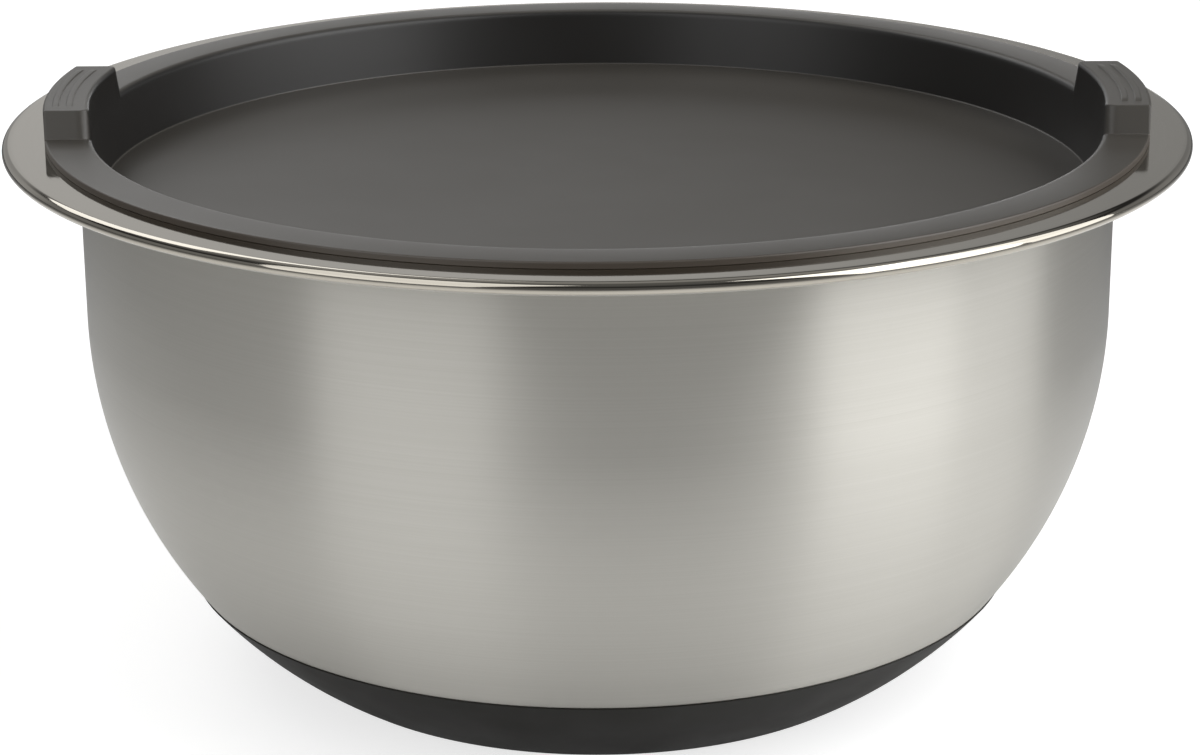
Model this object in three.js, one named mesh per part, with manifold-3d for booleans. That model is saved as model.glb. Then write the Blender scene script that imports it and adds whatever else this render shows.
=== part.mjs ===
// A steel mixing bowl with a soft non-slip base and a sunk plastic lid.
// Millimetres, +Z up. The origin is on the table, under the middle of the bowl.
// The finger grips of the lid lie to the left and the right, on the X axis.

import * as THREE from 'three';
import { mergeVertices } from 'three/addons/utils/BufferGeometryUtils.js';
import Module from 'manifold-3d';

const wasm = await Module();
wasm.setup();

// Bowl: one drawn sheet with a flat flange and a rolled edge
const wallRadius = 113.8;     // outside of the straight upper wall
const bowlHeight = 122.6;     // table to the flat top of the flange
const flangeWidth = 16.2;     // outside of the wall to the outermost edge of the rolled rim
const sheet = 0.8;            // thickness of the steel
const beadRadius = 1.4;       // section of the rolled edge
const mouthBend = 1.6;        // hollow side of the bend from wall to flange
const wallStart = 83;         // height where the straight wall begins
const bellyRadius = 101;      // outside of the round part below the straight wall

// Base: a soft cup on the bottom of the bowl
const baseHeight = 21.5;      // table to the lip of the cup
const baseFloor = 2.4;        // thickness under the bowl
const baseReach = 14.8;       // edge of the flat underside, outwards from the edge of the bowl's flat bottom
const baseSideRadius = 100;   // bulge of the side
const baseEdge = 2;           // rounding of the lower edge
const lipProud = 0.8;         // how far the lip stands out from the steel
const lipEdge = 0.2;          // rounding of the lip
const baseGap = 0.3;          // clearance between the cup's side and the steel

// Lid: a flange that lies on the steel flange round a sunk well
const lidClearance = 0.7;     // bowl's inner wall to the outside of the well's wall
const lidWall = 1.4;          // thickness of the well's wall at its mouth
const lidFlange = 1.4;        // thickness of the flange
const rimShow = 9.2;          // steel that shows outside the lid's flange
const wellDepth = 13.4;       // top of the flange to the floor of the well
const wellDraft = 2;          // how much narrower the well is at its floor
const lidFloor = 2;
const flangeEdge = 0.4;       // rounding of the flange's outer edge
const wellEdge = 0.9;         // rounding of the well's mouth
const wellCorner = 0.5;       // rounding where the wall meets the floor
const lidLowerEdge = 1.2;     // rounding of the lid's lower outer edge

// Finger grips: two raised stretches of the lid's flange
const gripHeight = 6;         // above the flange
const gripLength = 44;        // straight across its top
const gripDraft = 2.2;        // how much further each end reaches at the flange
const gripEdge = 0.5;         // rounding of the top edges
const ribCount = 2;           // low ribs along the top, for the fingers to hold
const ribWidth = 1.4;
const ribHeight = 0.35;
const ribEdge = 0.2;          // rounding of the ribs' upper edges
const ribPitch = 2.9;
const ribShift = 0.7;         // the ribs' middle, outwards from the grip's middle
const ribInset = 3.9;         // from each end of the grip's top

// Seal: a soft ring in a channel round the lid's sunk wall
const channelHeight = 4;
const channelDepth = 1;
const channelDrop = 4.5;      // steel flange down to the channel
const sealGap = 0.3;          // to the channel and to the bowl's inner wall
const sealEdge = 0.7;         // rounding of the ring's outer edges

// Facets
const turnSteps = 64;         // round every piece
const bellySteps = 9;
const kneeSteps = 7;
const bendSteps = 4;
const beadSteps = 10;
const sideSteps = 6;
const roundSteps = 3;

// Levels and radii that several pieces share
const rimRadius = wallRadius + flangeWidth;
const steelBottom = baseFloor;
const lidTop = bowlHeight + lidFlange;
const lidFlangeRadius = rimRadius - rimShow;
const lidOutside = wallRadius - sheet - lidClearance;
const wellRadius = lidOutside - lidWall;
const wellFloorRadius = wellRadius - wellDraft;
const wellFloor = lidTop - wellDepth;
const channelTop = bowlHeight - channelDrop;
const channelBottom = channelTop - channelHeight;
const channelRadius = lidOutside - channelDepth;
const gripTop = lidTop + gripHeight;

// The knee is the arc that joins the belly, at the lip of the base, to the flat bottom
const bellyCentre = wallRadius - bellyRadius;
const kneeAngle = Math.asin((wallStart - baseHeight) / bellyRadius);
const kneeRadius = (baseHeight - steelBottom) / (1 - Math.sin(kneeAngle));
const kneeCentre = bellyCentre + (bellyRadius - kneeRadius) * Math.cos(kneeAngle);
const kneeLevel = steelBottom + kneeRadius;

const at = (r, z) => new THREE.Vector2(r, z);

// Points of an arc, angles in radians from the +r direction towards +z
function arc(r, z, radius, from, to, steps) {
  const points = [];
  for (let i = 0; i <= steps; i++) {
    const angle = from + (to - from) * i / steps;
    points.push(at(r + radius * Math.cos(angle), z + radius * Math.sin(angle)));
  }
  return points;
}

// Points of an arc of a given radius from p to q, bulging to the right of the way from p to q
function bulge(p, q, radius, steps) {
  const chord = q.clone().sub(p);
  const half = Math.asin(chord.length() / 2 / radius);
  const left = at(-chord.y, chord.x).normalize().multiplyScalar(radius * Math.cos(half));
  const centre = p.clone().add(q).multiplyScalar(0.5).add(left);
  const start = p.clone().sub(centre).angle();
  return arc(centre.x, centre.y, radius, start, start + 2 * half, steps);
}

// A corner rounded by an arc that touches both of its sides
function fillet(before, corner, after, radius) {
  const back = before.clone().sub(corner).normalize();
  const on = after.clone().sub(corner).normalize();
  const half = back.angleTo(on) / 2;
  const middle = back.clone().add(on).normalize();
  const centre = corner.clone().addScaledVector(middle, radius / Math.sin(half));
  const start = corner.clone().addScaledVector(back, radius / Math.tan(half)).sub(centre);
  const turn = Math.sign(on.cross(back)) * (Math.PI - 2 * half);
  return arc(centre.x, centre.y, radius, start.angle(), start.angle() + turn, roundSteps);
}

// An outline of corners, each a point with the radius that rounds it, if any
function outline(corners) {
  return corners.flatMap(([point, radius], i) => {
    if (!radius) return [point];
    const before = corners[(i + corners.length - 1) % corners.length][0];
    const after = corners[(i + 1) % corners.length][0];
    return fillet(before, point, after, radius);
  });
}

// A closed mesh without doubled corners or empty triangles
function closed(geometry) {
  geometry.deleteAttribute('normal');
  geometry.deleteAttribute('uv');
  const merged = mergeVertices(geometry);
  const index = Array.from(merged.index.array);
  const kept = [];
  for (let i = 0; i < index.length; i += 3) {
    const [a, b, c] = index.slice(i, i + 3);
    if (a !== b && b !== c && c !== a) kept.push(a, b, c);
  }
  merged.setIndex(kept);
  return merged;
}

// A profile turned round the Z axis, from axis to axis
function turned(profile) {
  const geometry = new THREE.LatheGeometry(profile, turnSteps);
  geometry.rotateX(Math.PI / 2);
  return closed(geometry);
}

// A profile that closes on itself, turned into a ring
function ring(profile) {
  return turned([...profile, profile[0]]);
}

// A section in Y and Z that runs along X through the whole object
function bar(section) {
  const length = 4 * rimRadius;
  const geometry = new THREE.ExtrudeGeometry(new THREE.Shape(section), { depth: length, bevelEnabled: false });
  geometry.translate(0, 0, -length / 2);
  const along = new THREE.Matrix4().makeBasis(
    new THREE.Vector3(0, 1, 0),
    new THREE.Vector3(0, 0, 1),
    new THREE.Vector3(1, 0, 0),
  );
  geometry.applyMatrix4(along);
  return closed(geometry);
}

function solid(geometry) {
  const vertProperties = new Float32Array(geometry.attributes.position.array);
  const triVerts = new Uint32Array(geometry.index.array);
  return new wasm.Manifold(new wasm.Mesh({ numProp: 3, vertProperties, triVerts }));
}

function surface(body) {
  const mesh = body.getMesh();
  const geometry = new THREE.BufferGeometry();
  geometry.setAttribute('position', new THREE.BufferAttribute(mesh.vertProperties, 3));
  geometry.setIndex(new THREE.BufferAttribute(mesh.triVerts, 1));
  return geometry;
}

// One skin of the drawn bowl, inset from its outside, from the axis up to the straight wall
function bowlSkin(inset) {
  return [
    at(0, steelBottom + inset),
    ...arc(kneeCentre, kneeLevel, kneeRadius - inset, -Math.PI / 2, -kneeAngle, kneeSteps),
    ...arc(bellyCentre, wallStart, bellyRadius - inset, -kneeAngle, 0, bellySteps).slice(1),
  ];
}

function bowlShell() {
  const bendRadius = wallRadius + mouthBend;
  const bendLevel = bowlHeight - sheet - mouthBend;
  const beadCentre = rimRadius - beadRadius;
  const beadLevel = bowlHeight - beadRadius;
  const tuck = Math.PI - Math.asin((beadRadius - sheet) / beadRadius);
  return turned([
    ...bowlSkin(0),
    ...arc(bendRadius, bendLevel, mouthBend, Math.PI, Math.PI / 2, bendSteps),
    ...arc(beadCentre, beadLevel, beadRadius, tuck, 2.5 * Math.PI, beadSteps),
    ...arc(bendRadius, bendLevel, mouthBend + sheet, Math.PI / 2, Math.PI, bendSteps),
    ...bowlSkin(sheet).reverse(),
  ]);
}

function nonSlipBase() {
  const steelAtLip = kneeCentre + kneeRadius * Math.cos(kneeAngle);
  const seatRadius = kneeRadius + baseGap;
  const lipAngle = -Math.asin((kneeLevel - baseHeight) / seatRadius);
  const floorAngle = -Math.asin(kneeRadius / seatRadius);
  const seat = arc(kneeCentre, kneeLevel, seatRadius, lipAngle, floorAngle, kneeSteps);
  const underEdge = at(kneeCentre + baseReach, 0);
  const side = bulge(underEdge, at(steelAtLip + lipProud, baseHeight), baseSideRadius, sideSteps);
  const [foot, ...rise] = side;
  const lip = rise.pop();
  return turned(outline([
    [at(0, 0)],
    [foot, baseEdge],
    ...rise.map((point) => [point]),
    [lip, lipEdge],
    ...seat.map((point) => [point]),
    [at(0, steelBottom)],
  ]));
}

function lidBody() {
  const floorUnder = wellFloor - lidFloor;
  return turned(outline([
    [at(0, floorUnder)],
    [at(lidOutside, floorUnder), lidLowerEdge],
    [at(lidOutside, channelBottom)],
    [at(channelRadius, channelBottom)],
    [at(channelRadius, channelTop)],
    [at(lidOutside, channelTop)],
    [at(lidOutside, bowlHeight)],
    [at(lidFlangeRadius, bowlHeight)],
    [at(lidFlangeRadius, lidTop), flangeEdge],
    [at(wellRadius, lidTop), wellEdge],
    [at(wellFloorRadius, wellFloor), wellCorner],
    [at(0, wellFloor)],
  ]));
}

// Both grips at once: a raised ring, kept only where a bar across the lid meets it
function grips() {
  const root = lidTop - wellEdge;
  const slope = gripDraft / gripHeight;
  const topHalf = gripLength / 2;
  const rootHalf = topHalf + slope * (gripTop - root);
  const raised = ring(outline([
    [at(wellRadius, root)],
    [at(lidFlangeRadius, root)],
    [at(lidFlangeRadius, gripTop), gripEdge],
    [at(wellRadius, gripTop), wellEdge],
  ]));
  const across = bar(outline([
    [at(-rootHalf, root)],
    [at(rootHalf, root)],
    [at(topHalf, gripTop), gripEdge],
    [at(-topHalf, gripTop), gripEdge],
  ]));
  return solid(raised).intersect(solid(across));
}

// The ribs along the top of both grips: rings, kept only between the ends of the grips
function gripRibs() {
  const half = gripLength / 2 - ribInset;
  const root = gripTop - gripEdge;
  const ribTop = gripTop + ribHeight;
  const above = ribTop + ribHeight;
  const across = bar([at(-half, root), at(half, root), at(half, above), at(-half, above)]);
  const middle = (wellRadius + lidFlangeRadius) / 2 + ribShift;
  let ribs = null;
  for (let i = 0; i < ribCount; i++) {
    const inner = middle + (i - (ribCount - 1) / 2) * ribPitch - ribWidth / 2;
    const rib = solid(ring(outline([
      [at(inner, root)],
      [at(inner + ribWidth, root)],
      [at(inner + ribWidth, ribTop), ribEdge],
      [at(inner, ribTop), ribEdge],
    ])));
    ribs = ribs ? ribs.add(rib) : rib;
  }
  return ribs.intersect(solid(across));
}

function lid() {
  return surface(solid(lidBody()).add(grips()).add(gripRibs()));
}

function lidSeal() {
  const inside = channelRadius + sealGap;
  const outside = wallRadius - sheet - sealGap;
  const low = channelBottom + sealGap;
  const high = channelTop - sealGap;
  return ring(outline([
    [at(inside, low)],
    [at(outside, low), sealEdge],
    [at(outside, high), sealEdge],
    [at(inside, high)],
  ]));
}

function piece(name, geometry, color, roughness, metalness) {
  const material = new THREE.MeshStandardMaterial({ color, roughness, metalness, flatShading: true });
  const mesh = new THREE.Mesh(geometry, material);
  mesh.name = name;
  return mesh;
}

const bowl = new THREE.Group();
bowl.add(piece('bowl_shell', bowlShell(), '#a9a8a4', 0.32, 1));
bowl.add(piece('non_slip_base', nonSlipBase(), '#343436', 0.75, 0));

const cover = new THREE.Group();
cover.add(piece('lid', lid(), '#56544f', 0.5, 0));
cover.add(piece('lid_seal', lidSeal(), '#8f8d88', 0.7, 0));

const mixingBowl = new THREE.Group();
mixingBowl.add(bowl, cover);

export default mixingBowl;
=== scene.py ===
# %% [markdown]
# # A steel mixing bowl with a lid
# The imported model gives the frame: where each piece sits, how big it is and how the lid lifts.
# This script gives the pieces their fine surfaces, their finishes, a studio and a camera.
# The frame is in metres, with +Z up and the origin on the table under the middle of the bowl. The
# sizes of the pieces are written in millimetres here, as on a drawing.

import bpy
import numpy as np
from mathutils import Matrix


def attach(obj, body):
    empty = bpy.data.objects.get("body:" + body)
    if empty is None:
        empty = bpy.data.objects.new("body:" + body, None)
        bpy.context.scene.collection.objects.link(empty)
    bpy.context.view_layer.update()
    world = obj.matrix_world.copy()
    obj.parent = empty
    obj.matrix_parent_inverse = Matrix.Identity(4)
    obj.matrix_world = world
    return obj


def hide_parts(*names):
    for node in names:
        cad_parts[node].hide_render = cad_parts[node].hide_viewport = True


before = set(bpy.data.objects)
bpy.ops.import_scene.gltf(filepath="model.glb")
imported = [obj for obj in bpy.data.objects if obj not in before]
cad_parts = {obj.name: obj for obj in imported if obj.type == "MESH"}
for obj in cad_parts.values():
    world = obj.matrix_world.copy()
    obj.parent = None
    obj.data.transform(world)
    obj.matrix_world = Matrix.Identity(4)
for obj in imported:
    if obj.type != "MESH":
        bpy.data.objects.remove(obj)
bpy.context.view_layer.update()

# %% [markdown]
# ## Outlines
# Every piece here was turned, drawn or moulded round one axis, so each starts as an outline in two
# numbers: the distance from the axis and the height. A lathe tool or a Screw modifier could turn such
# an outline. Working the points out with numpy keeps the radii of the real bends exact. A rounded
# corner gets two extra points just outside its arc, so that smooth shading stays in the corner and
# the flat next to it looks flat.


# %% Points of arcs and straight runs
def arc(centre, radius, start, end, count):
    """Centre plus radius times the cosine and sine of evenly spaced angles, given in degrees."""
    angle = np.radians(np.linspace(start, end, count))
    return np.column_stack([centre[0] + radius * np.cos(angle), centre[1] + radius * np.sin(angle)])


def straight(start, end, count):
    """Evenly spaced points between two points, without the two points themselves."""
    share = np.linspace(0, 1, count + 2)[1:-1, None]
    return (1 - share) * np.array(start) + share * np.array(end)


print("a quarter circle of 1 mm:", np.round(arc((0, 0), 1, 0, 90, 3), 2).tolist())

# %% Rounded corners
# The extra points stand this share of the radius outside the arc.
GUARD = 0.25


def rounded(corners, steps=7):
    """Each corner (x, y, radius) becomes the arc that touches both of its sides: the centre lies on the
    line that halves the corner, radius / sin(half the angle) away. A radius of 0 keeps the point."""
    points = np.array([corner[:2] for corner in corners], float)
    outline = []
    for i, (_, _, radius) in enumerate(corners):
        corner = points[i:i + 1]
        if radius == 0:
            outline.append(corner)
            continue
        back = points[i - 1] - points[i]
        on = points[(i + 1) % len(points)] - points[i]
        back, on = back / np.linalg.norm(back), on / np.linalg.norm(on)
        half = np.arccos(np.clip(back @ on, -1, 1)) / 2
        middle = (back + on) / np.linalg.norm(back + on)
        centre = points[i] + middle * radius / np.sin(half)
        reach = radius / np.tan(half) + GUARD * radius
        turn = np.linspace(-1, 1, steps)[:, None] * (np.pi / 2 - half)
        side = on - (on @ middle) * middle
        side = side / np.linalg.norm(side)
        curve = centre - radius * (np.cos(turn) * middle - np.sin(turn) * side)
        outline += [corner + back * reach, curve, corner + on * reach]
    return np.vstack(outline)


print("a right angle rounded by 1 mm:", np.round(rounded([(0, 0, 0), (5, 0, 1), (5, 5, 0)], 3), 2).tolist())

# %% [markdown]
# ## From a grid of points to a mesh
# A surface is a grid: one row for each point of the outline, one column for each direction round the
# axis. Faces join neighbours in the grid. A row that lies on the axis shrinks to one point, so the
# pole is closed by triangles. Each point also keeps how far along the outline it lies, because brush
# marks follow the surface and not the height.


# %% A mesh from a grid of points
MM = 0.001
# Points closer than this, in millimetres, are meant to be in one place.
TINY = 1e-9


def grid_mesh(name, points, closed_rows=False):
    """Points[row, column] in millimetres become a mesh in metres. Columns go round and close; rows close
    when the outline does. Faces turn from column to column and then from row to row."""
    rows, columns = points.shape[:2]
    pole = np.ptp(points[:, :, :2].reshape(rows, -1), axis=1) < TINY
    own = np.where(pole, 1, columns)
    first = np.concatenate([[0], np.cumsum(own)[:-1]])
    index = first[:, None] + np.arange(columns)[None, :] * ~pole[:, None]
    low = np.arange(rows if closed_rows else rows - 1)
    high = (low + 1) % rows
    a, d = index[low], index[high]
    b, c = np.roll(a, -1, axis=1), np.roll(d, -1, axis=1)
    whole = ~(pole[low] | pole[high])
    faces = np.stack([a, b, c, d], axis=-1)[whole].reshape(-1, 4).tolist()
    faces += np.stack([a, c, d], axis=-1)[pole[low]].reshape(-1, 3).tolist()
    faces += np.stack([a, b, d], axis=-1)[pole[high]].reshape(-1, 3).tolist()
    keep = np.ones((rows, columns), bool)
    keep[pole, 1:] = False
    step = np.linalg.norm(np.diff(points, axis=0, prepend=points[:1]), axis=2).mean(axis=1)
    along = np.repeat(np.cumsum(step)[:, None], columns, axis=1)
    mesh = bpy.data.meshes.new(name)
    mesh.from_pydata((points[keep] * MM).tolist(), [], faces)
    distance = mesh.attributes.new("along", "FLOAT", "POINT")
    distance.data.foreach_set("value", (along[keep] * MM).astype(np.float32))
    mesh.polygons.foreach_set("use_smooth", np.ones(len(mesh.polygons), bool))
    mesh.update()
    piece = bpy.data.objects.new(name, mesh)
    bpy.context.scene.collection.objects.link(piece)
    return piece


# %% Turning an outline, and the size of a piece
def revolve(name, outline, columns=256, closed=False):
    """Every outline point (r, z) becomes the ring (r cos a, r sin a, z)."""
    angle = np.arange(columns) * 2 * np.pi / columns
    r, z = outline[:, :1], outline[:, 1:]
    points = np.stack([r * np.cos(angle), r * np.sin(angle), z + 0 * angle], axis=-1)
    return grid_mesh(name, points, closed)


def report(piece):
    """Prints a piece's size in millimetres and its number of faces."""
    size = np.round(np.ptp(np.array(piece.bound_box) / MM, axis=0), 1)
    print(piece.name, "size mm", size.tolist(), "faces", len(piece.data.polygons))


# %% [markdown]
# ## The bowl
# The bowl is one sheet of stainless steel, 0.8 mm thick: deep-drawn to a round belly and a straight
# wall, bent out to a flat flange, and rolled round at the edge so that no sharp edge is left. A sheet
# with a Solidify modifier would do for the wall, but the roll has a hollow inside and a slit where the
# sheet comes back to the flange. So the outline goes all the way round the sheet: up the outside, along
# the flange, round the inside of the roll, back round its outside, and down the inside of the bowl.

# %% Sizes of the bowl
SHEET = 0.8
RIM_RADIUS = 130.0
BOWL_HEIGHT = 122.6
WALL_RADIUS = 113.8
WALL_START = 83.0
BELLY_RADIUS = 101.0
ROLL_RADIUS = 1.4
# The sheet is rolled from the top, at 90 degrees, down and round to this angle: over three quarters of a
# turn.
ROLL_END = -195
MOUTH_BEND = 1.6
# The belly meets a sharper bend, the knee, at the height of the base's lip.
BASE_HEIGHT = 21.5
STEEL_BOTTOM = 2.4

belly_centre = (WALL_RADIUS - BELLY_RADIUS, WALL_START)
knee_angle = np.degrees(np.arcsin((WALL_START - BASE_HEIGHT) / BELLY_RADIUS))
knee_radius = (BASE_HEIGHT - STEEL_BOTTOM) / (1 - np.sin(np.radians(knee_angle)))
knee_centre = (
    belly_centre[0] + (BELLY_RADIUS - knee_radius) * np.cos(np.radians(knee_angle)),
    STEEL_BOTTOM + knee_radius,
)
bend_centre = (WALL_RADIUS + MOUTH_BEND, BOWL_HEIGHT - SHEET - MOUTH_BEND)
roll_centre = (RIM_RADIUS - ROLL_RADIUS, BOWL_HEIGHT - ROLL_RADIUS)
print("knee: radius", round(knee_radius, 1), "mm, from", round(knee_angle, 1), "degrees below level")


# %% The drawn bowl with its rolled edge
def skin(inset):
    """One side of the sheet from the axis up the wall: the flat bottom, the knee arc, the belly arc and
    the straight wall, all moved in by the inset."""
    bottom = STEEL_BOTTOM + inset
    wall = WALL_RADIUS - inset
    return np.vstack([
        [(0, bottom)],
        straight((0, bottom), (knee_centre[0], bottom), count=12),
        arc(knee_centre, knee_radius - inset, -90, -knee_angle, count=40),
        arc(belly_centre, BELLY_RADIUS - inset, -knee_angle, 0, count=60)[1:],
        straight((wall, WALL_START), (wall, bend_centre[1]), count=20),
    ])


outer_bend = arc(bend_centre, MOUTH_BEND, 180, 90, count=9)
roll_inside = arc(roll_centre, ROLL_RADIUS - SHEET, 90, ROLL_END, count=28)
roll_outside = arc(roll_centre, ROLL_RADIUS, ROLL_END, 90, count=44)
flange_under = straight(outer_bend[-1], roll_inside[0], count=6)
flange_top = straight(roll_outside[-1], (bend_centre[0], BOWL_HEIGHT), count=10)
inner_bend = arc(bend_centre, MOUTH_BEND + SHEET, 90, 180, count=12)
outside, inside = skin(0), skin(SHEET)[::-1]
bowl = revolve("bowl_shell_fine", np.vstack([
    outside, outer_bend, flange_under, roll_inside, roll_outside, flange_top, inner_bend, inside]))
report(bowl)

# %% [markdown]
# ## The non-slip base
# A cup of silicone rubber is moulded on the bottom of the bowl, so that it doesn't slide while you stir.
# It has a flat underside, a softly bulging side and a thin lip that ends on the steel. A Shrinkwrap
# modifier could press it onto the bowl. Here its inside is simply the knee of the bowl a hair further
# out, because the real one is bonded to it.

# %% The soft cup under the bowl
BASE_FLAT_RADIUS = 69.0
BASE_CORNER = 2.0
BASE_SIDE_RADIUS = 100.0
LIP_PROUD = 0.45
LIP_ROUND = 0.2
# A gap that keeps the rubber's inside out of the steel, and where the seat ends, in degrees.
SEAT = 0.02
SEAT_END = -88


def bulge(start, end, radius, count):
    """The arc of a given radius from start to end that bulges to the right of that way: its centre lies to
    the left of the middle of the chord."""
    start, end = np.array(start), np.array(end)
    chord = end - start
    length = np.linalg.norm(chord)
    left = np.array([-chord[1], chord[0]]) / length
    centre = (start + end) / 2 + left * np.sqrt(radius ** 2 - length ** 2 / 4)
    first, last = (np.degrees(np.arctan2(*(point - centre)[::-1])) for point in (start, end))
    return arc(centre, radius, first, last, count)


lip_radius = knee_centre[0] + knee_radius * np.cos(np.radians(knee_angle)) + LIP_PROUD
base_side = bulge((BASE_FLAT_RADIUS, 0), (lip_radius, BASE_HEIGHT), BASE_SIDE_RADIUS, count=30)
seat = arc(knee_centre, knee_radius + SEAT, -knee_angle, SEAT_END, count=24)
underside = np.linspace(6, 63, 10)
# The side's first and last points make room for the rounded corners.
base_corners = [(0, 0, 0)] + [(r, 0, 0) for r in underside]
base_corners += [(BASE_FLAT_RADIUS, 0, BASE_CORNER)] + [(r, z, 0) for r, z in base_side[3:-2]]
base_corners += [(lip_radius, BASE_HEIGHT, LIP_ROUND)] + [(r, z, 0) for r, z in seat]
base_corners += [(0, STEEL_BOTTOM - SEAT, 0)]
base = revolve("non_slip_base_fine", rounded(base_corners))
report(base)

# %% [markdown]
# ## The lid
# The lid is one moulding: a thin flange that lies on the steel, a well that drops into the bowl, a channel
# for the seal, and two raised grips with two low ribs each. A boolean of turned and extruded blocks would
# leave hard seams, so the lid is one grid. Each column has the same outline at its own height: 0 on the
# flange, 6 mm on a grip, and between the two on a grip's sloping ends. Columns stand close together
# where a grip or a rib ends.

# %% Heights of the columns round the lid
WELL_RADIUS = 110.9
GRIP_HEIGHT = 6.0
GRIP_HALF = 22.0
GRIP_DRAFT = 2.2
GRIP_TOP_ROUND = 0.35
GRIP_FOOT_ROUND = 0.3
GRIP_REACH = 40.0
RIB_HALF = 18.1
# Where grid lines stand beside a rib's outline, from just outside it to the top of its rounded edge.
RIB_SIDE = np.array([-0.15, -0.02, 0, 0.06, 0.13, 0.2])

grip_side = rounded([
    (0, GRIP_HEIGHT, 0), (GRIP_HALF, GRIP_HEIGHT, GRIP_TOP_ROUND),
    (GRIP_HALF + GRIP_DRAFT, 0, GRIP_FOOT_ROUND), (GRIP_REACH, 0, 0)], 6)
# Columns near a grip, in millimetres from its middle, and further away, in degrees.
middle_columns = np.arange(1.5, 17, 1.5)
outer_columns = [19.4, 20.6, 25.4, 26.8, 28.4, 30, 32.5, 35, 37.5]
FAR_STEP = 1.5
across = np.sort(np.concatenate([grip_side[:, 0], middle_columns, RIB_HALF - RIB_SIDE, outer_columns]))
near = np.degrees(np.arcsin(across / WELL_RADIUS))
far = np.arange(near[-1], 90, FAR_STEP)[1:]
print("columns in a quarter of the lid:", len(near), "near a grip and", len(far), "away from it")

# %% All columns, from one quarter
quarter = np.concatenate([near, far])
heights = np.concatenate([np.interp(across, grip_side[:, 0], grip_side[:, 1]), 0 * far])
column_angle = np.concatenate([
    quarter, [90], 180 - quarter[::-1], 180 + quarter[1:], [270], 360 - quarter[:0:-1]])
column_height = np.concatenate([heights, [0], heights[::-1], heights[1:], [0], heights[:0:-1]])
print("columns round the lid", len(column_angle), "raised", int((column_height > 0).sum()))

# %% [markdown]
# The outline is worked out twice, on the flange and on a grip, with the same number of points, and each
# column blends the two. The top of the flange isn't dead flat. A moulding this wide is given a slight
# crown, so that it doesn't look hollow, and it shows as a change of tone from the inner to the outer edge.

# %% Sizes of the lid's outline
LID_FLANGE_RADIUS = 120.8
FLANGE_THICK, WALL_THICK, FLOOR_THICK = 1.4, 1.4, 2.0
WELL_DEPTH = 13.4
WELL_FLOOR_RADIUS = 108.9
WELL_FILLET = 0.35
CHANNEL_DROP, CHANNEL_HEIGHT, CHANNEL_DEPTH = 4.5, 4.0, 1.0
CHANNEL_ROUND = 0.2
LID_TOP = BOWL_HEIGHT + FLANGE_THICK
WELL_FLOOR = LID_TOP - WELL_DEPTH
LID_UNDER = WELL_FLOOR - FLOOR_THICK
LID_OUTSIDE = WELL_RADIUS + WALL_THICK
CHANNEL_RADIUS = LID_OUTSIDE - CHANNEL_DEPTH
CHANNEL_TOP = BOWL_HEIGHT - CHANNEL_DROP
CHANNEL_BOTTOM = CHANNEL_TOP - CHANNEL_HEIGHT
UNDER_ROUND = 1.2
NECK_ROUND = 0.4
FLANGE_UNDER_ROUND = 0.15
CROWN = 0.1
# Pairs are for the flange and for a grip: the outer edge's straight part and rounding, the rounding of the
# well's mouth, and where it meets the well's wall, inwards and below the flange.
EDGE_STRAIGHT = (0.5, 0.6)
EDGE_ROUNDING = (0.4, 0.7)
MOUTH_ROUNDING = (1.5, 0.9)
MOUTH_INWARDS = (0.3, 0.0)
MOUTH_DOWN = (2.0, 0.3)
WALL_INWARDS, WALL_DOWN = 0.4, 2.7
RIB_RADII = (115.1, 118.0)
RIB_WIDTH = 1.4

rib_rows = [radius + sign * (RIB_WIDTH / 2 - RIB_SIDE) for radius in RIB_RADII for sign in (-1, 1)]
# Rows across the flange besides those of the ribs, and rings that divide the wide flats.
plain_rows = [113.0, 113.6, *RIB_RADII, 116.55, 119.1, 119.5]
top_rows = np.sort(np.concatenate(rib_rows + [plain_rows]))[::-1]
under_rings = (0, 30, 60, 90, 105)
floor_rings = (107, 100, 80, 60, 40, 20, 0)
print("rows across the flange", len(top_rows))


# %% The outline of the lid at a height
def blend(on_flange, on_grip, lift):
    """A weighted mean: all of the first where the lift is 0, all of the second where it is 1."""
    return (1 - lift) * on_flange + lift * on_grip


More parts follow.
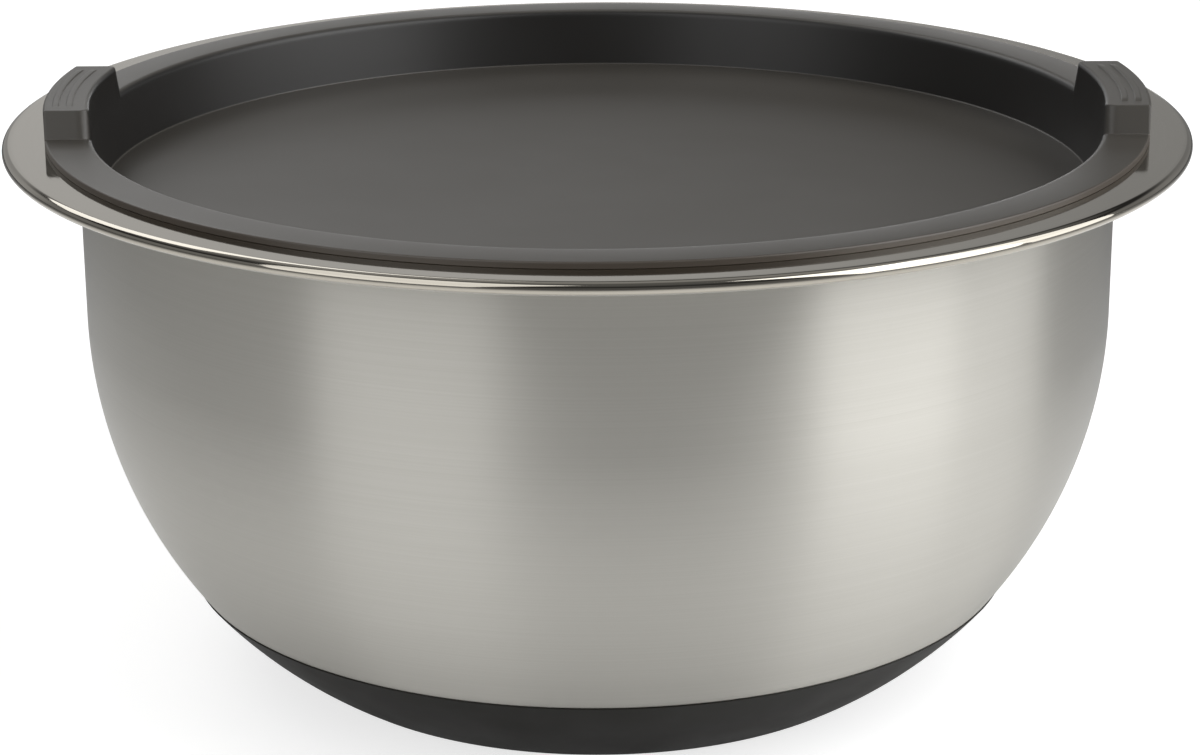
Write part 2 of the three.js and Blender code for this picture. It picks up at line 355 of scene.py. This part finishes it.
def lid_outline(height):
    """From the axis along the underside, up the outside with the seal's channel, along the flange, up its
    edge to the given height above the flange, back across the top, and down into the well. The crown is
    CROWN times one minus the squared way from the middle of the flange to its edge."""
    top = LID_TOP + height
    lift = height / GRIP_HEIGHT
    way = (top_rows - (WELL_RADIUS + LID_FLANGE_RADIUS) / 2) / ((LID_FLANGE_RADIUS - WELL_RADIUS) / 2)
    crowned = top + (1 - lift) * CROWN * (1 - way ** 2)
    under = [(r, LID_UNDER, 0) for r in under_rings] + [(LID_OUTSIDE, LID_UNDER, UNDER_ROUND)]
    channel = [
        (LID_OUTSIDE, CHANNEL_BOTTOM, CHANNEL_ROUND), (CHANNEL_RADIUS, CHANNEL_BOTTOM, CHANNEL_ROUND),
        (CHANNEL_RADIUS, CHANNEL_TOP, CHANNEL_ROUND), (LID_OUTSIDE, CHANNEL_TOP, CHANNEL_ROUND)]
    flange = [
        (LID_OUTSIDE, BOWL_HEIGHT, NECK_ROUND), (LID_FLANGE_RADIUS, BOWL_HEIGHT, FLANGE_UNDER_ROUND),
        (LID_FLANGE_RADIUS, BOWL_HEIGHT + blend(*EDGE_STRAIGHT, lift), 0),
        (LID_FLANGE_RADIUS, top, blend(*EDGE_ROUNDING, lift))]
    mouth = [
        (WELL_RADIUS, top, blend(*MOUTH_ROUNDING, lift)),
        (WELL_RADIUS - blend(*MOUTH_INWARDS, lift), LID_TOP - blend(*MOUTH_DOWN, lift), 0),
        (WELL_RADIUS - WALL_INWARDS, LID_TOP - WALL_DOWN, 0)]
    floor = [(WELL_FLOOR_RADIUS, WELL_FLOOR, WELL_FILLET)] + [(r, WELL_FLOOR, 0) for r in floor_rings]
    across_top = list(zip(top_rows, crowned, 0 * top_rows))
    return rounded(under + channel + flange + across_top + mouth + floor, 8)


low_outline, high_outline = lid_outline(0), lid_outline(GRIP_HEIGHT)
lift = column_height[None, :, None] / GRIP_HEIGHT
section = blend(low_outline[:, None, :], high_outline[:, None, :], lift)
radius, level = section[..., 0], section[..., 1]
print("rows along the lid's outline", len(radius))

# %% [markdown]
# The ends of the real grips are flat and not radial, so near a grip the columns run straight across the
# flange. The grips' upright edges towards the well are rounded for the fingers.

# %% Straight ends and rounded upright edges of the grips
EDGE_ROUND = 2.8
# Distances from the middle of a grip, along it, between which the columns turn from straight to radial,
# and between which the rounded edge moves them: not at all, fully, fully, not at all.
STRAIGHT_TO_RADIAL = [27, 60]
EDGE_ZONE = [12, 21.5, 25, 36]

angle = np.radians(column_angle)[None, :]
from_middle = np.abs(np.sin(angle)) * WELL_RADIUS
straightness = np.interp(from_middle, STRAIGHT_TO_RADIAL, [1, 0])
shrink = np.minimum(1, WELL_RADIUS / np.maximum(radius, TINY))
sine = np.sin(angle) * (1 + straightness * (shrink - 1))
# The upright edges are quarter circles in plan: the ends move in by R - sqrt(R^2 - d^2), where d is how
# far a point lies inside the last R before the well.
inside_edge = np.clip(WELL_RADIUS + EDGE_ROUND - radius, 0, EDGE_ROUND)
move = EDGE_ROUND - np.sqrt(EDGE_ROUND ** 2 - inside_edge ** 2)
share = np.interp(from_middle, EDGE_ZONE, [0, 1, 1, 0])
sine = sine - np.sign(np.sin(angle)) * share * move / WELL_RADIUS
cosine = np.sign(np.cos(angle)) * np.sqrt(1 - sine ** 2)
x, y = radius * cosine, radius * sine
print("the rounded edges move points by up to", round(float((share * move).max()), 2), "mm")

# %% The ribs on the grips, and the lid
RIB_HEIGHT = 0.22
RIB_EDGE = 0.2
RIB_TAPER = 1.5
# How far below the grips' top a point still counts as on it, and outside a rib's outline as on that.
ON_TOP = 0.001
ON_OUTLINE = 1e-6

on_top = level > LID_TOP + GRIP_HEIGHT - ON_TOP
# A rib stands up where a point is inside its outline. Its long edges are quarter circles of RIB_EDGE,
# and its ends run out to nothing over RIB_TAPER.
for rib_radius in RIB_RADII:
    depth = np.minimum(RIB_WIDTH / 2 - np.abs(radius - rib_radius), RIB_HALF - np.abs(y))
    fall = RIB_EDGE - np.clip(depth, 0, RIB_EDGE)
    rise = RIB_HEIGHT - RIB_EDGE + np.sqrt(RIB_EDGE ** 2 - fall ** 2)
    run_out = np.clip((RIB_HALF - np.abs(y)) / RIB_TAPER, 0, 1)
    level = level + on_top * (depth > -ON_OUTLINE) * rise * run_out
lid = grid_mesh("lid_fine", np.stack([x, y, level], axis=-1))
report(lid)

# %% [markdown]
# ## The seal
# A soft ring sits in the channel and presses on the bowl's wall. A Torus could stand for it, but a real
# seal is a flat strip. It is a closed outline turned once round. Its outer edges are round, so that it
# slides into the bowl.

# %% The sealing ring
SEAL_GAP = 0.3
SEAL_INNER_ROUND = 0.2
SEAL_OUTER_ROUND = 0.7

seal_inside = CHANNEL_RADIUS + SEAL_GAP
seal_outside = WALL_RADIUS - SHEET - SEAL_GAP
seal_bottom, seal_top = CHANNEL_BOTTOM + SEAL_GAP, CHANNEL_TOP - SEAL_GAP
seal_outline = rounded([
    (seal_inside, seal_bottom, SEAL_INNER_ROUND), (seal_outside, seal_bottom, SEAL_OUTER_ROUND),
    (seal_outside, seal_top, SEAL_OUTER_ROUND), (seal_inside, seal_top, SEAL_INNER_ROUND)])
seal = revolve("lid_seal_fine", seal_outline, columns=192, closed=True)
report(seal)

# %% [markdown]
# ## Each fine piece stands for its piece of the frame
# The fine surface is shown, and the frame's own solid stays for the physics. A piece rides on the body
# that carries it, so the seal lifts with the lid.

# %% Ride and replace
for piece, node, body, slot in (
    (bowl, "bowl_shell", "bowl", "steel"),
    (base, "non_slip_base", "bowl", "base_silicone"),
    (lid, "lid", "lid", "lid_plastic"),
    (seal, "lid_seal", "lid", "seal_silicone"),
):
    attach(piece, body)
    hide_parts(node)
    print(piece.name, "stands for", node, "on", body)

# %% [markdown]
# ## Finishes
# A finish starts from what the material is and how its surface was made. Colours are written as on
# screen and turned to linear light by one function. Patterns are sized in millimetres. Each material
# here is built from nodes, with no pictures, so it holds at any distance.


# %% Colours and nodes
def colour(code):
    """An sRGB hex code as linear red, green and blue, by the sRGB curve, with alpha 1."""
    value = np.array([int(code[i:i + 2], 16) for i in (1, 3, 5)]) / 255
    linear = np.where(value <= 0.04045, value / 12.92, ((value + 0.055) / 1.055) ** 2.4)
    return (*linear.tolist(), 1.0)


def add(tree, kind, inputs=None, **settings):
    """One node of a kind, with its settings. Inputs maps a socket to a value or to another node's socket."""
    node = tree.nodes.new(kind)
    for name, value in settings.items():
        setattr(node, name, value)
    for socket, value in (inputs or {}).items():
        if isinstance(value, bpy.types.NodeSocket):
            tree.links.new(value, node.inputs[socket])
        else:
            node.inputs[socket].default_value = value
    return node


print("middle grey in linear light", np.round(colour("#808080"), 3).tolist())

# %% New materials and the scale of a pattern
# A Mix node has one A, B and Result for each kind of data, all with the same names. The colour ones are
# picked by their place.
MIX_A, MIX_B, MIX_RESULT = 6, 7, 2
# A noise lies around one half. Most of it falls between these two values.
NOISE_LOW, NOISE_HIGH = 0.3, 0.7


def finish(name, **constants):
    """A new material whose Principled shader has the given constant values. Returns the material, its tree
    and the shader."""
    material = bpy.data.materials.new(name)
    material.use_nodes = True
    tree = material.node_tree
    shader = tree.nodes["Principled BSDF"]
    for socket, value in constants.items():
        shader.inputs[socket.replace("_", " ")].default_value = value
    return material, tree, shader


def per_mm(size):
    """The scale of a noise whose spots are the given size in millimetres, on coordinates in metres."""
    return 1 / (size * MM)


print("scale of a noise with 1 mm spots", per_mm(1))

# %% [markdown]
# ### Brushed steel
# Stainless steel, brushed with a fine belt while the bowl turns. The marks are hair-fine lines round the
# bowl. They spread a reflection up and down but hardly sideways, so a lamp becomes a tall soft band.
# The shader's anisotropy does that, with its tangent turned to run up the wall. The lines themselves are
# a noise that is stretched round the bowl, with the place along the outline as its third coordinate.
# Real lines are about 0.05 mm wide. They are drawn 0.35 mm wide, so that they show.


# %% Lines round the bowl
def brush_lines(tree, length, width, detail):
    """Noise whose spots are long round the bowl and narrow along its outline, both in millimetres."""
    place = add(tree, "ShaderNodeTexCoord").outputs["Object"]
    along = add(tree, "ShaderNodeAttribute", attribute_name="along").outputs["Fac"]
    parts = add(tree, "ShaderNodeSeparateXYZ", {"Vector": place})
    x = add(tree, "ShaderNodeMath", {0: parts.outputs["X"], 1: per_mm(length)}, operation="MULTIPLY")
    y = add(tree, "ShaderNodeMath", {0: parts.outputs["Y"], 1: per_mm(length)}, operation="MULTIPLY")
    z = add(tree, "ShaderNodeMath", {0: along, 1: per_mm(width)}, operation="MULTIPLY")
    vector = add(tree, "ShaderNodeCombineXYZ", {0: x.outputs[0], 1: y.outputs[0], 2: z.outputs[0]})
    noise = add(tree, "ShaderNodeTexNoise", {"Vector": vector.outputs[0], "Scale": 1.0, "Detail": detail})
    return noise.outputs["Fac"]


# %% Satin brushed stainless steel
HAIRLINE_LENGTH, HAIRLINE_WIDTH = 140, 0.35
HAIRLINE_DEPTH = 0.01

# A quarter turn of the tangent makes the shine spread up and down the wall.
brushed, tree, shader = finish(
    "brushed_stainless_steel", Metallic=1.0, Anisotropic=0.95, Anisotropic_Rotation=0.25)
hairlines = brush_lines(tree, HAIRLINE_LENGTH, HAIRLINE_WIDTH, 2.0)
rough = add(tree, "ShaderNodeMapRange", {
    "Value": hairlines, "From Min": NOISE_LOW, "From Max": NOISE_HIGH, "To Min": 0.38, "To Max": 0.42})
tint = add(tree, "ShaderNodeMix", {
    "Factor": hairlines, MIX_A: colour("#bcbab3"), MIX_B: colour("#c8c6c0")}, data_type="RGBA")
bump = add(tree, "ShaderNodeBump", {
    "Height": hairlines, "Strength": 0.03, "Distance": HAIRLINE_DEPTH * MM})
tangent = add(tree, "ShaderNodeTangent", direction_type="RADIAL", axis="Z")
tree.links.new(rough.outputs["Result"], shader.inputs["Roughness"])
tree.links.new(tint.outputs[MIX_RESULT], shader.inputs["Base Color"])
tree.links.new(bump.outputs["Normal"], shader.inputs["Normal"])
tree.links.new(tangent.outputs["Tangent"], shader.inputs["Tangent"])
print(brushed.name, "lines", HAIRLINE_LENGTH, "by", HAIRLINE_WIDTH, "mm")

# %% [markdown]
# ### Polished steel
# The flange and the roll were buffed on a wheel after they were formed, so they are nearly a mirror.
# The edge of the lid and its grips stand in the flange as in a pool. Faint buffing lines run round.
# The bowl stays one mesh, and its faces choose between the two finishes.

# %% Mirror-polished stainless steel
BUFFING_LENGTH, BUFFING_WIDTH = 90, 0.5

polished, tree, shader = finish("polished_stainless_steel", Metallic=1.0)
buffing = brush_lines(tree, BUFFING_LENGTH, BUFFING_WIDTH, 1.0)
rough = add(tree, "ShaderNodeMapRange", {
    "Value": buffing, "From Min": 0.35, "From Max": 0.65, "To Min": 0.04, "To Max": 0.08})
tint = add(tree, "ShaderNodeMix", {
    "Factor": buffing, MIX_A: colour("#b2ada2"), MIX_B: colour("#b7b2a8")}, data_type="RGBA")
tree.links.new(rough.outputs["Result"], shader.inputs["Roughness"])
tree.links.new(tint.outputs[MIX_RESULT], shader.inputs["Base Color"])
print(polished.name, "lines", BUFFING_LENGTH, "by", BUFFING_WIDTH, "mm")

# %% Brushed on the wall, polished on the flange and the roll
# The polish starts this far outside the wall.
POLISH_START = 0.25

bowl.data.materials.append(brushed)
bowl.data.materials.append(polished)
centres = np.empty(3 * len(bowl.data.polygons))
bowl.data.polygons.foreach_get("center", centres)
centres = centres.reshape(-1, 3) / MM
beyond_wall = np.hypot(centres[:, 0], centres[:, 1]) > WALL_RADIUS + POLISH_START
shiny = beyond_wall & (centres[:, 2] > bend_centre[1])
bowl.data.polygons.foreach_set("material_index", shiny.astype(np.int32))
print("polished faces", int(shiny.sum()), "of", len(shiny))

# %% [markdown]
# ### Moulded plastic
# The lid is polypropylene, moulded in a tool with a fine, even grain. It is a warm dark grey with a satin
# shine that grows at a flat angle. The steep wall of the well is left smooth, because a grained wall would
# stick in the tool, and the floor is smoother than the grips. The wall of the well is also painted much
# darker than the rest: painted shade, for the shade inside the well. The flange is rubbed a little
# smoother too. Its thin edge is painted lighter and browner than the rest: a painted glow, for light
# that comes through the plastic. Vertex colours could mark those places. Object coordinates do it
# without a seam, from the lid's own sizes.

# %% Where the lid is smooth or rubbed, and where shade and a glow are painted on it
# Widths of the soft borders, in millimetres above the well's floor, outside its mouth, and inside the edge.
FLOOR_BORDER = (0.1, 0.4)
MOUTH_BORDER = (0.1, 0.7)
EDGE_BORDER = (0.4, 0.1)
# The crown stays below this height over the flange, and the grips stand above it.
FLANGE_LIMIT = 0.15

plastic, tree, shader = finish("satin_moulded_polypropylene", IOR=1.54)
place = add(tree, "ShaderNodeTexCoord").outputs["Object"]
parts = add(tree, "ShaderNodeSeparateXYZ", {"Vector": place}).outputs
flat = add(tree, "ShaderNodeCombineXYZ", {"X": parts["X"], "Y": parts["Y"]}).outputs["Vector"]
out = add(tree, "ShaderNodeVectorMath", {0: flat}, operation="LENGTH").outputs["Value"]
above_floor = add(tree, "ShaderNodeMapRange", {
    "Value": parts["Z"], "From Min": (WELL_FLOOR + FLOOR_BORDER[0]) * MM,
    "From Max": (WELL_FLOOR + FLOOR_BORDER[1]) * MM}).outputs["Result"]
in_well = add(tree, "ShaderNodeMapRange", {
    "Value": out, "From Min": (WELL_RADIUS + MOUTH_BORDER[0]) * MM,
    "From Max": (WELL_RADIUS + MOUTH_BORDER[1]) * MM, "To Min": 1.0, "To Max": 0.0}).outputs["Result"]
# Painted shade: this share darkens the colour of the well's wall.
well_shade_paint = add(tree, "ShaderNodeMath", {0: above_floor, 1: in_well}, operation="MULTIPLY").outputs[0]
below_grips = add(tree, "ShaderNodeMath", {
    0: parts["Z"], 1: (LID_TOP + FLANGE_LIMIT) * MM}, operation="LESS_THAN").outputs[0]
past_mouth = add(tree, "ShaderNodeMath", {
    0: out, 1: (WELL_RADIUS + MOUTH_BORDER[1]) * MM}, operation="GREATER_THAN").outputs[0]
rubbed = add(tree, "ShaderNodeMath", {0: past_mouth, 1: below_grips}, operation="MULTIPLY").outputs[0]
# Painted glow: this share makes the flange's thin edge lighter and browner in colour.
at_edge = add(tree, "ShaderNodeMapRange", {
    "Value": out, "From Min": (LID_FLANGE_RADIUS - EDGE_BORDER[0]) * MM,
    "From Max": (LID_FLANGE_RADIUS - EDGE_BORDER[1]) * MM}).outputs["Result"]
edge_glow_paint = add(tree, "ShaderNodeMath", {0: at_edge, 1: below_grips}, operation="MULTIPLY").outputs[0]
print("smooth wall from radius", WELL_FLOOR_RADIUS, "to", WELL_RADIUS, "mm")

# %% Satin moulded polypropylene
# The grain is a noise of fine spots in the bump. A slow change in tint and roughness stands for the way
# that the melt flowed into the tool.
GRAIN_SIZE = 0.25
GRAIN_DEPTH = 0.02
FLOW_SIZE = 35
WELL_SMOOTHER = -0.05
RUBBED_SMOOTHER = -0.06

grain = add(tree, "ShaderNodeTexNoise", {
    "Vector": place, "Scale": per_mm(GRAIN_SIZE), "Detail": 1.0}).outputs["Fac"]
flow = add(tree, "ShaderNodeTexNoise", {
    "Vector": place, "Scale": per_mm(FLOW_SIZE), "Detail": 2.0}).outputs["Fac"]
rough = add(tree, "ShaderNodeMapRange", {
    "Value": flow, "From Min": NOISE_LOW, "From Max": NOISE_HIGH,
    "To Min": 0.42, "To Max": 0.46}).outputs["Result"]
rough = add(tree, "ShaderNodeMath", {
    0: in_well, 1: WELL_SMOOTHER, 2: rough}, operation="MULTIPLY_ADD").outputs[0]
rough = add(tree, "ShaderNodeMath", {
    0: rubbed, 1: RUBBED_SMOOTHER, 2: rough}, operation="MULTIPLY_ADD").outputs[0]
tint = add(tree, "ShaderNodeMix", {
    "Factor": flow, MIX_A: colour("#413e39"), MIX_B: colour("#45423d")}, data_type="RGBA")
# Painted shade on the well's wall, and a painted glow on the flange's thin edge.
for place_share, code in ((well_shade_paint, "#161412"), (edge_glow_paint, "#4b443d")):
    tint = add(tree, "ShaderNodeMix", {
        "Factor": place_share, MIX_A: tint.outputs[MIX_RESULT], MIX_B: colour(code)}, data_type="RGBA")
bump = add(tree, "ShaderNodeBump", {"Height": grain, "Strength": 0.1, "Distance": GRAIN_DEPTH * MM})
tree.links.new(rough, shader.inputs["Roughness"])
tree.links.new(tint.outputs[MIX_RESULT], shader.inputs["Base Color"])
tree.links.new(bump.outputs["Normal"], shader.inputs["Normal"])
lid.data.materials.append(plastic)
print(plastic.name, "grain", GRAIN_SIZE, "mm")

# %% [markdown]
# ### Silicone rubber
# The base is silicone, moulded in a blasted tool, so it is quite matte. It is a very dark olive grey. The
# seal is the same rubber in light grey. Its texture has wider and so gentler spots, because its tool was
# polished. Both have the same nodes, so one loop makes the two.

# %% Matte silicone for the base, smooth silicone for the seal
BLOOM_SIZE = 20
TEXTURE_DEPTH = 0.04
SMOOTHEST, ROUGHEST = 0.4, 0.5

for piece, name, dark, light, spot in (
    (base, "matte_moulded_silicone", "#13110b", "#17150f", 0.3),
    (seal, "smooth_soft_silicone", "#8c8a84", "#93918b", 0.6),
):
    silicone, tree, shader = finish(name, IOR=1.41, Specular_IOR_Level=0.35)
    place = add(tree, "ShaderNodeTexCoord").outputs["Object"]
    grain = add(tree, "ShaderNodeTexNoise", {
        "Vector": place, "Scale": per_mm(spot), "Detail": 2.0}).outputs["Fac"]
    bloom = add(tree, "ShaderNodeTexNoise", {
        "Vector": place, "Scale": per_mm(BLOOM_SIZE), "Detail": 3.0}).outputs["Fac"]
    rough = add(tree, "ShaderNodeMapRange", {
        "Value": bloom, "From Min": NOISE_LOW, "From Max": NOISE_HIGH,
        "To Min": SMOOTHEST, "To Max": ROUGHEST})
    tint = add(tree, "ShaderNodeMix", {
        "Factor": bloom, MIX_A: colour(dark), MIX_B: colour(light)}, data_type="RGBA")
    bump = add(tree, "ShaderNodeBump", {
        "Height": grain, "Strength": 0.15, "Distance": TEXTURE_DEPTH * MM})
    tree.links.new(rough.outputs["Result"], shader.inputs["Roughness"])
    tree.links.new(tint.outputs[MIX_RESULT], shader.inputs["Base Color"])
    tree.links.new(bump.outputs["Normal"], shader.inputs["Normal"])
    piece.data.materials.append(silicone)
    print(name, "on", piece.name)

# %% [markdown]
# ## Studio
# Steel shows the room that it stands in, so the room makes the picture. The floor is a sheet of white
# paper. A brighter lamp would make it white too, but the lid and the steel would be too bright. So the
# paper is lit like everything else, keeps the bowl's shadow, and has a glow that only the camera and
# mirrors see. In mirrors it is dim close to the bowl, where the bowl shades the paper.

# %% The floor
FLOOR_REACH = 4.0
# A tenth of a millimetre of air keeps the floor and the base from being in the same place.
FLOOR_GAP = 0.0001

steps = np.linspace(-FLOOR_REACH, FLOOR_REACH, 3)
floor_points = np.stack(np.meshgrid(steps, steps), axis=-1).reshape(-1, 2)
floor_faces = [(0, 1, 4, 3), (1, 2, 5, 4), (3, 4, 7, 6), (4, 5, 8, 7)]
floor_mesh = bpy.data.meshes.new("floor")
floor_mesh.from_pydata([(x, y, -FLOOR_GAP) for x, y in floor_points], [], floor_faces)
floor = bpy.data.objects.new("floor", floor_mesh)
bpy.context.scene.collection.objects.link(floor)
print("floor", floor.dimensions[:])

# %% White paper
# Distances from the middle of the bowl, in metres, between which the near paper turns into the far paper,
# and the glow of each for the camera.
NEAR_TO_FAR = {"From Min": 0.2, "From Max": 0.6}
CAMERA_GLOW = {"To Min": 0.72, "To Max": 1.0}
# The glow for mirrors: low in the bowl's own shade, full just outside it, and weaker further away.
BOWL_SHADE = {"From Min": 0.09, "From Max": 0.16, "To Min": 0.15, "To Max": 0.62}
WEAKER = {"From Min": 0.2, "From Max": 0.45, "To Min": 1.0, "To Max": 0.68}

paper, tree, shader = finish("white_paper", Roughness=0.9, Emission_Color=(1, 1, 1, 1))
place = add(tree, "ShaderNodeTexCoord").outputs["Object"]
away = add(tree, "ShaderNodeVectorMath", {0: place}, operation="LENGTH").outputs["Value"]
far_share = add(tree, "ShaderNodeMapRange", {
    "Value": away, **NEAR_TO_FAR}, interpolation_type="SMOOTHSTEP").outputs["Result"]
shade = add(tree, "ShaderNodeMix", {
    "Factor": far_share, MIX_A: colour("#c4c4c4"), MIX_B: colour("#888888")}, data_type="RGBA")
tree.links.new(shade.outputs[MIX_RESULT], shader.inputs["Base Color"])
camera_glow = add(tree, "ShaderNodeMapRange", {"Value": far_share, **CAMERA_GLOW}).outputs["Result"]
mirror_glow = add(tree, "ShaderNodeMapRange", {"Value": away, **BOWL_SHADE}).outputs["Result"]
weaker = add(tree, "ShaderNodeMapRange", {"Value": away, **WEAKER}).outputs["Result"]
near_share = add(tree, "ShaderNodeMath", {0: 1.0, 1: far_share}, operation="SUBTRACT").outputs[0]
for factor in (weaker, near_share):
    mirror_glow = add(tree, "ShaderNodeMath", {0: mirror_glow, 1: factor}, operation="MULTIPLY").outputs[0]
path = add(tree, "ShaderNodeLightPath").outputs
seen = add(tree, "ShaderNodeMath", {
    0: path["Is Camera Ray"], 1: path["Is Transmission Ray"]}, operation="MAXIMUM").outputs[0]
glow = add(tree, "ShaderNodeMath", {
    0: path["Is Glossy Ray"], 1: mirror_glow}, operation="MULTIPLY").outputs[0]
glow = add(tree, "ShaderNodeMath", {0: seen, 1: camera_glow, 2: glow}, operation="MULTIPLY_ADD").outputs[0]
tree.links.new(glow, shader.inputs["Emission Strength"])
floor_mesh.materials.append(paper)
print(paper.name, "turns from near to far between", *NEAR_TO_FAR.values(), "m")

# %% [markdown]
# ### The room
# The room is the world's colour, worked out from the direction in which a ray leaves: X to the right, Y to
# the back, Z up, each from -1 to 1. Panels of mesh round the bowl could do the same, but they would cast
# shadows. A low wall goes all round. Behind the bowl it is pale, mostly on the left, and has a bright
# strip at its foot, because the lid's floor and the flange look that way in the picture. The ceiling is
# pale towards the back. The rest is dim, and that gives the steel its darker bands and the roll its dark
# line. The camera itself sees plain white.

# %% Walls of the room
# Heights at which the wall and the strip at its foot end.
WALL_END = {"From Min": 0.3, "From Max": 0.45, "To Min": 1.0, "To Max": 0.0}
STRIP_END = {"From Min": 0.07, "From Max": 0.15, "To Min": 1.0, "To Max": 0.0}
# The back begins where Y gets this large. Its middle ends where X does, on either side.
BACK_START = {"From Min": 0.5, "From Max": 0.75}
MIDDLE_END = {"From Min": 0.18, "From Max": 0.25, "To Min": 1.0, "To Max": 0.0}
# Brightness of the back wall from left to right, its share beyond the middle, and how the strip grows to
# the right.
BACK_WALL = {"From Min": -0.03, "From Max": 0.16, "To Min": 0.46, "To Max": 0.2}
BACK_ENDS = {"To Min": 0.5, "To Max": 1.0}
STRIP_TO_RIGHT = {"From Min": 0.0, "From Max": 0.12, "To Min": 1.0, "To Max": 2.6}
# Brightness of the wall all round, from the front and the back to the sides.
WALL_TO_SIDES = {"From Min": 0.4, "From Max": 0.8, "To Min": 0.1, "To Max": 0.22}

world = bpy.data.worlds.new("studio")
bpy.context.scene.world = world
world.use_nodes = True
tree = world.node_tree
leaving = add(tree, "ShaderNodeTexCoord").outputs["Generated"]
direction = add(tree, "ShaderNodeSeparateXYZ", {"Vector": leaving}).outputs
sideways = add(tree, "ShaderNodeMath", {0: direction["X"]}, operation="ABSOLUTE").outputs[0]
low = add(tree, "ShaderNodeMapRange", {
    "Value": direction["Z"], **WALL_END}, interpolation_type="SMOOTHSTEP").outputs["Result"]
behind = add(tree, "ShaderNodeMapRange", {
    "Value": direction["Y"], **BACK_START}, interpolation_type="SMOOTHSTEP").outputs["Result"]
middle = add(tree, "ShaderNodeMapRange", {"Value": sideways, **MIDDLE_END}).outputs["Result"]
strip = add(tree, "ShaderNodeMapRange", {"Value": direction["Z"], **STRIP_END}).outputs["Result"]
to_right = add(tree, "ShaderNodeMapRange", {"Value": direction["X"], **STRIP_TO_RIGHT}).outputs["Result"]
for factor in (middle, to_right):
    strip = add(tree, "ShaderNodeMath", {0: strip, 1: factor}, operation="MULTIPLY").outputs[0]
back = add(tree, "ShaderNodeMapRange", {"Value": direction["X"], **BACK_WALL}).outputs["Result"]
ends = add(tree, "ShaderNodeMapRange", {"Value": middle, **BACK_ENDS}).outputs["Result"]
back = add(tree, "ShaderNodeMath", {0: back, 1: ends}, operation="MULTIPLY").outputs[0]
back = add(tree, "ShaderNodeMath", {0: low, 1: back, 2: strip}, operation="MULTIPLY_ADD").outputs[0]
around = add(tree, "ShaderNodeMapRange", {"Value": sideways, **WALL_TO_SIDES}).outputs["Result"]
print("back wall from", BACK_WALL["To Min"], "on the left to", BACK_WALL["To Max"], "on the right")

# %% Ceiling, and the room as a whole
ROOM = 0.03
CEILING = {"From Min": -0.1, "From Max": 0.3, "To Min": 0.16, "To Max": 0.42}
CEILING_START = {"From Min": 0.5, "From Max": 0.85}

ceiling = add(tree, "ShaderNodeMapRange", {"Value": direction["Y"], **CEILING}).outputs["Result"]
room = add(tree, "ShaderNodeMapRange", {
    "Value": direction["Z"], **CEILING_START, "To Min": ROOM, "To Max": ceiling}).outputs["Result"]
for share, brightness in ((low, around), (behind, back)):
    room = add(tree, "ShaderNodeMath", {
        0: share, 1: brightness, 2: room}, operation="MULTIPLY_ADD").outputs[0]
path = add(tree, "ShaderNodeLightPath").outputs
strength = add(tree, "ShaderNodeMath", {0: room, 1: path["Is Camera Ray"]}, operation="MAXIMUM").outputs[0]
background = tree.nodes["Background"]
background.inputs["Color"].default_value = (1, 1, 1, 1)
tree.links.new(strength, background.inputs["Strength"])
print("room", ROOM, "and ceiling up to", CEILING["To Max"])

# %% [markdown]
# ### The lamps
# Two tall softboxes stand on the right, a weaker card on the left of the camera, and a small softbox
# behind on the left. Each becomes a band on the wall and a streak on the roll, and the streaks' ends fix
# where the lamps stand and how wide they are. Point lamps would give hard dots, so these are area lamps.

# %% Soft lamps
AIM = np.array([0, 0, 0.08])
LAMP_DISTANCE = 1.3


def soft_lamp(name, bearing, elevation, size, brightness):
    """A rectangular lamp at a bearing in degrees from the camera's side, to the right, and an elevation,
    both seen from the bowl. An area lamp of power P and area A glows with P / (pi A), so the power follows
    from the brightness."""
    lamp = bpy.data.lights.new(name, "AREA")
    lamp.shape = "RECTANGLE"
    lamp.size, lamp.size_y = size
    lamp.energy = brightness * np.pi * size[0] * size[1]
    holder = bpy.data.objects.new(name, lamp)
    bpy.context.scene.collection.objects.link(holder)
    turn, rise = np.radians(bearing), np.radians(elevation)
    way = np.array([np.cos(rise) * np.sin(turn), -np.cos(rise) * np.cos(turn), np.sin(rise)])
    holder.location = AIM + LAMP_DISTANCE * way
    holder.rotation_euler = (np.pi / 2 - rise, 0, turn)
    print(name, "at", np.round(holder.location, 2).tolist(), "power", round(float(lamp.energy), 2))


soft_lamp("right_softbox", bearing=62.3, elevation=30, size=(0.88, 1.55), brightness=2.75)
soft_lamp("right_rear_softbox", bearing=93.5, elevation=30, size=(0.6, 1.55), brightness=1.95)
soft_lamp("left_card", bearing=-40, elevation=32, size=(1.0, 1.6), brightness=1.35)
soft_lamp("left_rear_softbox", bearing=-144, elevation=40, size=(1.0, 0.6), brightness=1.9)

# %% [markdown]
# ## Camera
# The camera's place comes from the ellipses of the rim, the lid and the base: how wide and how flat each
# one looks fixes the distance, the height and the lens. The camera is turned a little round its own line
# of sight, because the rim stands slightly higher on the right.

# %% Camera
# The width of the picture and the distance of the picture from the lens, both in pixels.
PICTURE_WIDTH = 1200
LENS_DISTANCE = 3196
SENSOR_WIDTH = 36
CAMERA_PLACE = (0.00033, -0.6908, 0.2877)
LOOKS_DOWN = 18.09
ROLL = -0.3

lens = bpy.data.cameras.new("camera")
lens.sensor_width = SENSOR_WIDTH
lens.lens = SENSOR_WIDTH * LENS_DISTANCE / PICTURE_WIDTH
camera = bpy.data.objects.new("camera", lens)
bpy.context.scene.collection.objects.link(camera)
camera.location = CAMERA_PLACE
pitched = Matrix.Rotation(np.radians(90 - LOOKS_DOWN), 4, "X")
camera.rotation_euler = (pitched @ Matrix.Rotation(np.radians(ROLL), 4, "Z")).to_euler()
bpy.context.scene.camera = camera
bpy.context.scene.view_settings.view_transform = "Standard"
print("lens", round(lens.lens, 2), "mm")
